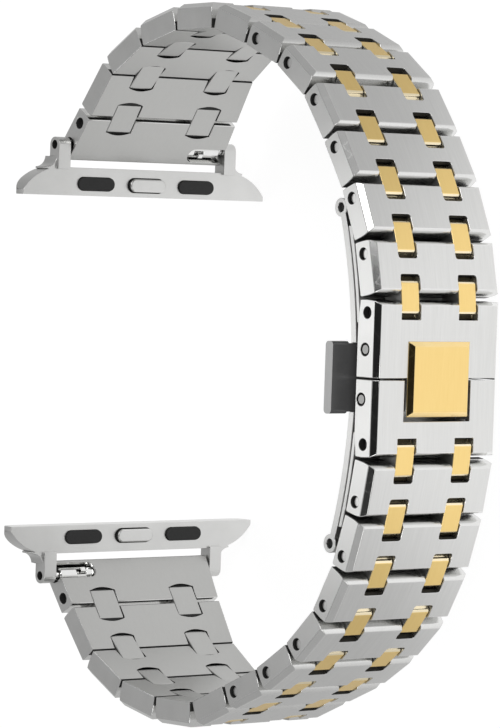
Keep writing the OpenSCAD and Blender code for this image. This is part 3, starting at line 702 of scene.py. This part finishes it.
solidPlan = {
    "merge": 8e-6, "collapse": 1e-7,  # metres: steps under a hundredth of a millimetre go
    "flat": 0.6,  # degrees between faces that count as one
    "rod": 1.7, "rail": 20, "pad": 3,  # mm: a rod is slimmer both ways, a rail and a pad are longer
    "rivet": 0.44, "rivetHole": 0.66, "pinHole": 0.62, "bar": 0.9, "barTip": 0.5,  # radii, mm
    "facing": 0.9, "leaning": 0.05,  # share of a normal: mostly along an axis, or just towards it
    "coverPocket": (5, 5, 0.1),  # mm: half its width, where it starts, and how far beyond the pin it goes
    "endPocket": (8, 0.0018, 0.0001),  # half its width in mm, its reach and the way beyond the pin in metres
    "earsFrom": 10, "pillMargin": 0.12, "pillSide": 0.4, "pillFace": 0.2, "grip": 9.9, "plateFace": 0.99,
    "arcStart": (-0.2, -0.25), "arcLevels": (0.8, 1.12), "arcGap": 0.02, "arcHalf": 6,
}


def islands(form):
    left, groups = set(form.faces), []
    while left:
        stack, group = [left.pop()], []
        while stack:
            face = stack.pop()
            group.append(face)
            for edge in face.edges:
                for other in edge.link_faces:
                    if other in left:
                        left.remove(other)
                        stack.append(other)
        groups.append(group)
    return groups


def dressed(node, name, body, edge, finishes, choose, segments=2, clamp=False,
        cutter=None):
    # choose(low, high) gives each solid its finish, from the corners of its box in millimetres
    source = frame["nodes"][node].data
    form = bmesh.new()
    form.from_mesh(source)
    bmesh.ops.remove_doubles(form, verts=form.verts, dist=solidPlan["merge"])
    bmesh.ops.dissolve_degenerate(form, edges=form.edges, dist=solidPlan["collapse"])
    bmesh.ops.dissolve_limit(form, angle_limit=math.radians(solidPlan["flat"]), verts=form.verts, edges=form.edges,
        use_dissolve_boundaries=False)
    for group in islands(form):
        points = [vert.co / mm for face in group for vert in face.verts]
        low = Vector([min(p[i] for p in points) for i in range(3)])
        high = Vector([max(p[i] for p in points) for i in range(3)])
        index = choose(low, high)
        for face in group:
            face.material_index = index
            face.smooth = True
    mesh = bpy.data.meshes.new(name)
    form.to_mesh(mesh)
    form.free()
    for finish in finishes:
        mesh.materials.append(finish)
    mesh.set_sharp_from_angle(angle=math.radians(sharpAngle))
    thing = newObject(name, mesh)
    softenEdges(thing, edge * mm, segments, clamp=clamp)
    if cutter:
        cut = thing.modifiers.new("arcs", "BOOLEAN")
        cut.operation, cut.solver, cut.object = "DIFFERENCE", "EXACT", cutter
    weighNormals(thing)
    thing = bake(thing)
    if cutter:
        bpy.data.objects.remove(cutter)
    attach(thing, body)
    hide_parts(node)
    return thing


def paint(thing, rule):
    # rule(material index, normal, centre in millimetres) gives the face's new index
    mesh = thing.data
    for face in mesh.polygons:
        face.material_index = rule(face.material_index, face.normal, face.center / mm)


def slim(low, high):
    return sorted(high - low)[1] < solidPlan["rod"]


def nearAxis(centre, pin, radius):
    return math.hypot(centre.x - pin.x / mm, centre.y - pin.y / mm) < radius


def coverRule(half):
    pin, rivet = pinAt(f"{half}_connectors_01_hinge"), pinAt(f"{half}_cover_hinge")
    sign = 1 if half == "upper" else -1
    facing, leaning = solidPlan["facing"], solidPlan["leaning"]
    halfWide, start, beyond = solidPlan["coverPocket"]
    def rule(index, normal, centre):
        atRivet = nearAxis(centre, rivet, solidPlan["rivetHole"])
        # the rivet's groove ring, the hole walls and the pin pocket take index 3, painted shade
        if index:
            return 3 if atRivet and not nearAxis(centre, rivet, solidPlan["rivet"]) else index
        sideways = abs(normal.z) < facing
        if sideways and (atRivet or nearAxis(centre, pin, solidPlan["pinHole"])):
            return 3
        inPocket = start < sign * centre.y < pin.y * sign / mm + beyond and abs(centre.z) < halfWide
        if inPocket and sideways and abs(normal.x) < facing and normal.y * sign > leaning:
            return 3
        return 0 if abs(normal.x) > flatFace or abs(normal.z) > flatFace else 1
    return rule


def endLinkAxes(half):
    pin, bar = pinAt(f"{half}_end_link_hinge"), pinAt(f"{half}_adapter_hinge")
    along = (pin - bar).normalized()
    return pin, along, Vector((along.y, -along.x, 0)) * (1 if half == "upper" else -1)


def slotArcs(half):
    # thin segments that leave the cutter's arc at the inner end of both slots of an end link
    pin, along, inwards = endLinkAxes(half)
    last = spread(10.5)
    middle = between("pair", last)
    wide = between("connector", last) / 2 + linkPlan["slotGap"] - solidPlan["arcGap"]
    (back, front), steps = solidPlan["arcStart"], solidPlan["arcHalf"]
    form = bmesh.new()
    for z in (-middle, middle):
        outline = [(back, z - wide), (back, z + wide)]
        outline += [(front - linkPlan["scoop"] * (1 - (i / steps - 1) ** 2), z + wide * (1 - i / steps))
            for i in range(2 * steps + 1)]
        rows = [[form.verts.new(pin + (along * x + inwards * level + Vector((0, 0, side))) * mm)
            for x, side in outline] for level in solidPlan["arcLevels"]]
        for i in range(len(outline)):
            j = (i + 1) % len(outline)
            form.faces.new((rows[0][i], rows[0][j], rows[1][j], rows[1][i]))
        form.faces.new(rows[1])
        form.faces.new(rows[0][::-1])
    bmesh.ops.recalc_face_normals(form, faces=form.faces)
    mesh = bpy.data.meshes.new("slot arcs")
    form.to_mesh(mesh)
    form.free()
    return newObject("slot arcs", mesh)


def endLinkRule(half):
    pin, along, inwards = endLinkAxes(half)
    bar = pinAt(f"{half}_adapter_hinge")
    facing, leaning = solidPlan["facing"], solidPlan["leaning"]
    halfWide, reach, beyond = solidPlan["endPocket"]
    def rule(index, normal, centre):
        if index:
            return index
        near = centre * mm - pin
        near.z = 0
        # hole walls and the slot pocket take index 3, painted shade; faces turned inwards take index 2, the darker
        # satin copy, also painted shade
        atHole = nearAxis(centre, bar, solidPlan["bar"]) or nearAxis(centre, pin, solidPlan["pinHole"])
        if atHole and abs(normal.z) < facing:
            return 3
        inPocket = abs(centre.z) < halfWide and near.dot(along) < beyond and near.length < reach
        if inPocket and normal.dot(along) > leaning:
            return 3
        if normal.dot(inwards) > facing:
            return 2
        return 0 if normal.dot(inwards) < -flatFace or abs(normal.z) > flatFace else 1
    return rule


def adapterRule(half):
    bar = pinAt(f"{half}_adapter_hinge")
    pill = [vert.co / mm for vert in frame["nodes"][f"{half}_lock_button"].data.vertices]
    low, high = (Vector([pick(p[i] for p in pill) for i in range(3)]) for pick in (min, max))
    margin = solidPlan["pillMargin"]
    def rule(index, normal, centre):
        if index:
            return index
        # ear hole walls and the walls round the lock pill take index 3, painted shade
        inEar = abs(centre.z) > solidPlan["earsFrom"] and abs(normal.z) < solidPlan["facing"]
        if inEar and nearAxis(centre, bar, solidPlan["barTip"]):
            return 3
        atPill = all(low[i] - margin < centre[i] < high[i] + margin for i in (1, 2))
        return 3 if atPill and abs(normal.x) < solidPlan["pillSide"] else index
    return rule


def buttonRule(index, normal, centre):
    # the grip is black, and its end face bare steel with a bright edge
    if abs(centre.z) < solidPlan["grip"]:
        return 0
    return 1 if abs(normal.z) > 0.95 else 2


def adapterFinish(low, high):
    length = high.z - low.z
    return 0 if length > solidPlan["rail"] else 1 if length > solidPlan["pad"] else 2


for half in ("upper", "lower"):
    cover = dressed(f"{half}_cover", f"{half}_cover_shell", f"{half}_cover", 0.05,
        [satinSteel, polishedSteel, shadedInnerSteel, pocketShade], lambda low, high: 2 if slim(low, high) else 0)
    paint(cover, coverRule(half))
    dressed(f"{half}_arm", f"{half}_arm_blade", f"{half}_arm", 0.05, [strapSteel],
        lambda low, high: 0)
    name = f"{half}_end_link"
    endLink = dressed(name, f"{name}_body", name, 0.05, [satinSteel, polishedSteel, shadedInnerSteel, pocketShade],
        lambda low, high: 1 if slim(low, high) else 0, cutter=slotArcs(half))
    paint(endLink, endLinkRule(half))
    adapter = dressed(f"{half}_adapter", f"{half}_adapter_rail", f"{half}_adapter", 0.05,
        [blastedSteel, blackRubber, shadedInnerSteel, pocketShade], adapterFinish)
    paint(adapter, adapterRule(half))
    lock = dressed(f"{half}_lock_button", f"{half}_lock_pill", f"{half}_lock_button", 0.14,
        [blastedSteel, pocketShade], lambda low, high: 0, segments=3)
    # the pill's side faces take painted shade
    paint(lock, lambda index, normal, centre: 1 if abs(normal.x) < solidPlan["pillFace"] else 0)
# thin rods of the base take painted shade
dressed("clasp_base", "clasp_base_blade", "clasp_base", 0.04, [strapSteel, pocketShade],
    lambda low, high: 1 if slim(low, high) else 0)
plate = dressed("gold_plate", "gold_square", "upper_cover", 0.03, [satinGold, polishedGold],
    lambda low, high: 0)
paint(plate, lambda index, normal, centre: 0 if normal.x > solidPlan["plateFace"] else 1)
for side in ("left", "right"):
    button = dressed(f"{side}_push_button", f"{side}_push_cap", f"{side}_push_button", 0.12,
        [blackCoat, buttonSteel, polishedSteel], lambda low, high: 0, segments=3, clamp=True)
    paint(button, buttonRule)
    button.visible_glossy = False  # keeps its dark mirror image off the covers' sides
print("clasp and adapters made")


# Floor, world and lamps

studio = {
    "floorDrop": 0.05,  # mm under the lowest point
    "floorGlow": 0.86, "floorShade": 0.25,
    "floorFade": (14, 50), "floorFaded": 0.36,  # what metal sees of the floor dims away from the clasp, in mm
    "fill": 0.55,
    "roomBright": 0.39, "roomDim": 0.45,
    "roomTurn": (-0.5, 0.3),  # X of the direction, from bright to dim
    "darkTowards": (0.62, -0.04, 0.78), "darkEdge": (0.86, 0.955), "darkLevel": 0.03,
    "floorColours": ((0.78, 0.78, 0.78), (0.80, 0.80, 0.80)), "floorHalf": 3.0,  # metres
    "lamps": [
        # place in mm, aim in mm, size in mm, power
        ((260, 260, 320), (-25, 0, 0), (240, 240), 0.45),
        ((300, -220, 200), (-25, 0, 0), (200, 200), 0.25),
        ((-75, -2, 72), (-2, 0, 8), (54, 24), 0.0053),
    ],
}


def makeWorld(plan):
    world = bpy.data.worlds.new("studio")
    bpy.context.scene.world = world
    world.use_nodes = True
    tree = world.node_tree
    tree.nodes.clear()
    path = tree.nodes.new("ShaderNodeLightPath")
    way = tree.nodes.new("ShaderNodeTexCoord").outputs["Generated"]
    near = wire(tree, "ShaderNodeVectorMath", {0: way, 1: Vector(plan["darkTowards"]).normalized()},
        operation="DOT_PRODUCT").outputs["Value"]
    patch = wire(tree, "ShaderNodeMapRange", {"Value": near, "From Min": plan["darkEdge"][0],
        "From Max": plan["darkEdge"][1], "To Min": 1.0, "To Max": plan["darkLevel"]},
        interpolation_type="SMOOTHSTEP").outputs[0]
    sideways = wire(tree, "ShaderNodeSeparateXYZ", {0: way}).outputs[0]
    room = wire(tree, "ShaderNodeMapRange", {"Value": sideways, "From Min": plan["roomTurn"][0],
        "From Max": plan["roomTurn"][1], "To Min": plan["roomBright"], "To Max": plan["roomDim"]},
        interpolation_type="SMOOTHSTEP").outputs[0]
    gloss = wire(tree, "ShaderNodeBackground", {"Strength": sum2(tree, room, patch, "MULTIPLY")})
    fill = wire(tree, "ShaderNodeBackground", {"Strength": plan["fill"]})
    white = wire(tree, "ShaderNodeBackground", {"Strength": 1.0})
    for node in (gloss, fill, white):
        node.inputs["Color"].default_value = (1, 1, 1, 1)
    first = wire(tree, "ShaderNodeMixShader", {0: path.outputs["Is Glossy Ray"], 1: fill.outputs[0],
        2: gloss.outputs[0]})
    seen = sum2(tree, path.outputs["Is Camera Ray"], path.outputs["Is Transmission Ray"], "MAXIMUM")
    second = wire(tree, "ShaderNodeMixShader", {0: seen, 1: first.outputs[0], 2: white.outputs[0]})
    wire(tree, "ShaderNodeOutputWorld", {"Surface": second.outputs[0]})


def makeFloor(plan):
    # camera and mirror rays see the floor nearly as white as the backdrop, with a faint shadow left
    size, level = plan["floorHalf"], boxAtLoad[0][2] - plan["floorDrop"] * mm
    form = bmesh.new()
    form.faces.new([form.verts.new((x * size, y * size, level)) for x, y in ((-1, -1), (1, -1), (1, 1), (-1, 1))])
    mesh = bpy.data.meshes.new("studio floor")
    form.to_mesh(mesh)
    form.free()
    floor = newObject("studio floor", mesh)
    material, tree, shader, place = newMaterial("pale floor")
    shader.inputs["Roughness"].default_value = 0.9
    shader.inputs["Specular IOR Level"].default_value = 0.1
    clouds = wire(tree, "ShaderNodeTexNoise", {"Vector": place, "Scale": 4.0, "Detail": 2.0})
    tree.links.new(tint(tree, clouds.outputs[0], *plan["floorColours"]), shader.inputs["Base Color"])
    path = tree.nodes.new("ShaderNodeLightPath")
    along = wire(tree, "ShaderNodeMath", {0: wire(tree, "ShaderNodeSeparateXYZ", {0: place}).outputs[1]},
        operation="ABSOLUTE").outputs[0]
    fade = wire(tree, "ShaderNodeMapRange", {"Value": along, "From Min": plan["floorFade"][0] * mm,
        "From Max": plan["floorFade"][1] * mm, "To Min": plan["floorGlow"], "To Max": plan["floorFaded"]},
        interpolation_type="SMOOTHSTEP").outputs[0]
    shine = wire(tree, "ShaderNodeMix", {0: path.outputs["Is Glossy Ray"], 2: plan["floorGlow"], 3: fade},
        data_type="FLOAT").outputs[0]
    glow = wire(tree, "ShaderNodeEmission", {"Strength": shine})
    shade = wire(tree, "ShaderNodeBsdfDiffuse")
    shade.inputs["Color"].default_value = (plan["floorShade"],) * 3 + (1,)
    shown = wire(tree, "ShaderNodeAddShader", {0: glow.outputs[0], 1: shade.outputs[0]})
    seen = sum2(tree, path.outputs["Is Camera Ray"], path.outputs["Is Glossy Ray"], "MAXIMUM")
    both = wire(tree, "ShaderNodeMixShader", {0: seen, 1: shader.outputs[0], 2: shown.outputs[0]})
    out = next(node for node in tree.nodes if node.type == "OUTPUT_MATERIAL")
    tree.links.new(both.outputs[0], out.inputs["Surface"])
    mesh.materials.append(material)


def makeLamps(plan):
    for number, (where, target, (tall, wide), power) in enumerate(plan["lamps"]):
        data = bpy.data.lights.new(f"lamp {number}", "AREA")
        data.shape = "ELLIPSE"
        data.size, data.size_y = wide * mm, tall * mm
        data.energy = power
        lamp = bpy.data.objects.new(data.name, data)
        bpy.context.scene.collection.objects.link(lamp)
        lamp.location = Vector(where) * mm
        lamp.visible_camera = False
        back = (lamp.location - Vector(target) * mm).normalized()
        side = Vector((0, 1, 0)).cross(back).normalized()
        turn = Matrix((side, back.cross(side), back)).transposed()
        lamp.rotation_euler = turn.to_euler()


makeWorld(studio)
makeFloor(studio)
makeLamps(studio)
bpy.context.scene.view_settings.view_transform = "Standard"
print("studio set")
